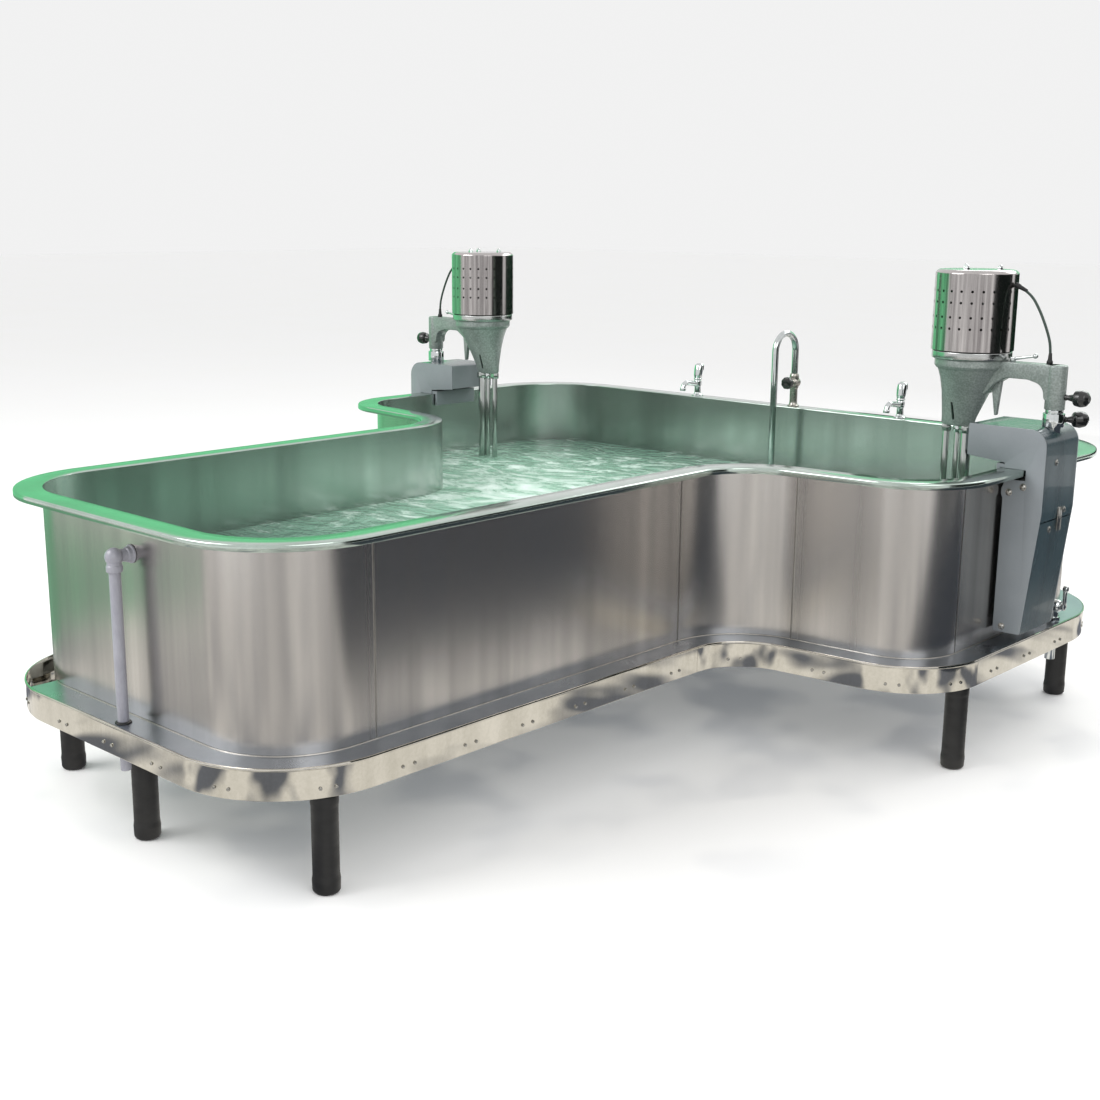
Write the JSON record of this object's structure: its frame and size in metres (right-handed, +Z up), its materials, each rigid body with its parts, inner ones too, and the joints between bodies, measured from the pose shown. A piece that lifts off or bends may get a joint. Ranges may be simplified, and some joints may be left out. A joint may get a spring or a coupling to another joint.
{
  "type": "hydrotherapy tank",
  "caption": "Keyhole-plan stainless full-body hydrotherapy tank on booted legs, with swinging motor turbines, taps, gooseneck filler, overflow and drain.",
  "frame": {"origin": "on the floor under the middle of the footprint", "axes": "+Z up, +Y from the narrow foot end to the wide head end, +X to the right when facing the head end"},
  "size_m": [2.546, 2.7026, 1.2853],
  "materials": {
    "wall_steel": "satin 2B stainless sheet, vertical grain",
    "lip_steel": "satin stainless lip",
    "floor_steel": "satin stainless floor",
    "band_polish": "mirror-polished stainless band",
    "screw_steel": "button-head stainless screws",
    "frame_paint": "light grey painted square tube",
    "boot_rubber": "black sleeve",
    "overflow_grey": "satin grey pipe",
    "chrome_trim": "chromed brass fittings",
    "knob_black": "black phenolic",
    "hammertone": "grey hammertone enamel on cast aluminium",
    "bracket_grey": "light grey enamel",
    "bracket_teal": "dark blue-grey enamel",
    "can_polish": "polished perforated stainless",
    "motor_metal": "machined aluminium motor frame and ring",
    "tube_steel": "polished stainless tube",
    "cable_black": "black flex",
    "pump_metal": "satin stainless pump"
  },
  "bodies": {
    "root": {"wall_foot_end": "wall_steel", "wall_head_end": "wall_steel", "wall_side_right": "wall_steel", "wall_side_left": "wall_steel", "wall_waist_right": "wall_steel", "wall_waist_left": "wall_steel", "tank_floor": "floor_steel", "rim_lip": "lip_steel", "base_shelf": "wall_steel", "band_foot_end": "band_polish", "band_head_end": "band_polish", "band_waist_right": "band_polish", "band_waist_left": "band_polish", "band_screws": "screw_steel", "base_frame": "frame_paint", "leg_tubes": "tube_steel", "leg_boots": "boot_rubber", "overflow_elbow": "overflow_grey", "overflow_pipe": "overflow_grey", "drain_valve_body": "chrome_trim", "drain_strainer": "chrome_trim", "tap_bodies": "chrome_trim", "filler_valve": "chrome_trim", "filler_pipe": "chrome_trim", "bracket_plates": "bracket_grey", "bracket_saddles": "bracket_grey", "bracket_bolts": "chrome_trim", "guide_tubes": "chrome_trim", "bracket_cover_right": "bracket_teal", "bracket_lower_cover_right": "bracket_teal", "bracket_cover_left": "bracket_teal", "bracket_lower_cover_left": "bracket_teal"},
    "elevator_right": {"lift_post_right": "chrome_trim"},
    "turbine_right": {"arm_casting_right": "hammertone", "motor_frame_right": "motor_metal", "motor_cover_right": "can_polish", "turbine_tubes_right": "tube_steel", "pump_housing_right": "pump_metal", "power_lead_right": "cable_black"},
    "rotor_body_right": {"rotor_right": "pump_metal"},
    "lift_lock_right": {"lift_knob_right": "knob_black"},
    "swivel_lock_right": {"swivel_knob_right": "knob_black"},
    "air_valve_right": {"air_knob_right": "chrome_trim"},
    "motor_lock_right": {"clamp_lever_right": "chrome_trim"},
    "elevator_left": {"lift_post_left": "chrome_trim"},
    "turbine_left": {"arm_casting_left": "hammertone", "motor_frame_left": "motor_metal", "motor_cover_left": "can_polish", "turbine_tubes_left": "tube_steel", "pump_housing_left": "pump_metal", "power_lead_left": "cable_black"},
    "rotor_body_left": {"rotor_left": "pump_metal"},
    "lift_lock_left": {"lift_knob_left": "knob_black"},
    "swivel_lock_left": {"swivel_knob_left": "knob_black"},
    "air_valve_left": {"air_knob_left": "chrome_trim"},
    "motor_lock_left": {"clamp_lever_left": "chrome_trim"},
    "drain_lever": {"drain_handle": "chrome_trim"},
    "filler_wheel": {"filler_knob": "knob_black"},
    "tap_right": {"tap_handle_right": "chrome_trim"},
    "tap_left": {"tap_handle_left": "chrome_trim"}
  },
  "joints": [
    {"name": "lift_right", "type": "slide", "parent": "root", "child": "elevator_right", "axis": [0, 0, 1], "range_m": [0, 0.2]},
    {"name": "swivel_right", "type": "hinge", "parent": "elevator_right", "child": "turbine_right", "pos_m": [1.184, 0.74618, 0.968], "axis": [0, 0, 1], "range_deg": [-45, 45]},
    {"name": "rotor_spin_right", "type": "hinge", "parent": "turbine_right", "child": "rotor_body_right", "pos_m": [0.94, 0.74618, 0.768], "axis": [0, 0, 1], "continuous": true},
    {"name": "lift_lock_turn_right", "type": "hinge", "parent": "root", "child": "lift_lock_right", "pos_m": [1.184, 0.74618, 0.894], "axis": [0.7071, 0.7071, 0], "range_deg": [0, 360]},
    {"name": "swivel_lock_turn_right", "type": "hinge", "parent": "turbine_right", "child": "swivel_lock_right", "pos_m": [1.184, 0.74618, 0.954], "axis": [1, 0, 0], "range_deg": [0, 360]},
    {"name": "air_valve_turn_right", "type": "hinge", "parent": "turbine_right", "child": "air_valve_right", "pos_m": [0.913, 0.74618, 0.843], "axis": [0, 0, 1], "range_deg": [0, 270]},
    {"name": "motor_lock_turn_right", "type": "hinge", "parent": "turbine_right", "child": "motor_lock_right", "pos_m": [1.059, 0.74618, 1.043], "axis": [0, 0, 1], "range_deg": [0, 60]},
    {"name": "lift_left", "type": "slide", "parent": "root", "child": "elevator_left", "axis": [0, 0, 1], "range_m": [0, 0.2]},
    {"name": "swivel_left", "type": "hinge", "parent": "elevator_left", "child": "turbine_left", "pos_m": [-1.184, 0.74618, 0.968], "axis": [0, 0, 1], "range_deg": [-45, 45]},
    {"name": "rotor_spin_left", "type": "hinge", "parent": "turbine_left", "child": "rotor_body_left", "pos_m": [-0.94, 0.74618, 0.768], "axis": [0, 0, 1], "continuous": true},
    {"name": "lift_lock_turn_left", "type": "hinge", "parent": "root", "child": "lift_lock_left", "pos_m": [-1.184, 0.74618, 0.894], "axis": [-0.7071, 0.7071, 0], "range_deg": [0, 360]},
    {"name": "swivel_lock_turn_left", "type": "hinge", "parent": "turbine_left", "child": "swivel_lock_left", "pos_m": [-1.184, 0.74618, 0.954], "axis": [-1, 0, 0], "range_deg": [0, 360]},
    {"name": "air_valve_turn_left", "type": "hinge", "parent": "turbine_left", "child": "air_valve_left", "pos_m": [-0.913, 0.74618, 0.843], "axis": [0, 0, 1], "range_deg": [0, 270]},
    {"name": "motor_lock_turn_left", "type": "hinge", "parent": "turbine_left", "child": "motor_lock_left", "pos_m": [-1.059, 0.74618, 1.043], "axis": [0, 0, -1], "range_deg": [0, 60]},
    {"name": "drain_turn", "type": "hinge", "parent": "root", "child": "drain_lever", "pos_m": [1.139, 0.951, 0.345], "axis": [1, 0, 0], "range_deg": [0, 90]},
    {"name": "filler_turn", "type": "hinge", "parent": "root", "child": "filler_wheel", "pos_m": [0, 1.281, 0.85], "axis": [0, -1, 0], "range_deg": [0, 360]},
    {"name": "tap_turn_right", "type": "hinge", "parent": "root", "child": "tap_right", "pos_m": [0.412, 1.3135, 0.828], "axis": [0, 0, 1], "range_deg": [0, 90]},
    {"name": "tap_turn_left", "type": "hinge", "parent": "root", "child": "tap_left", "pos_m": [-0.412, 1.3135, 0.828], "axis": [0, 0, -1], "range_deg": [0, 90]}
  ]
}
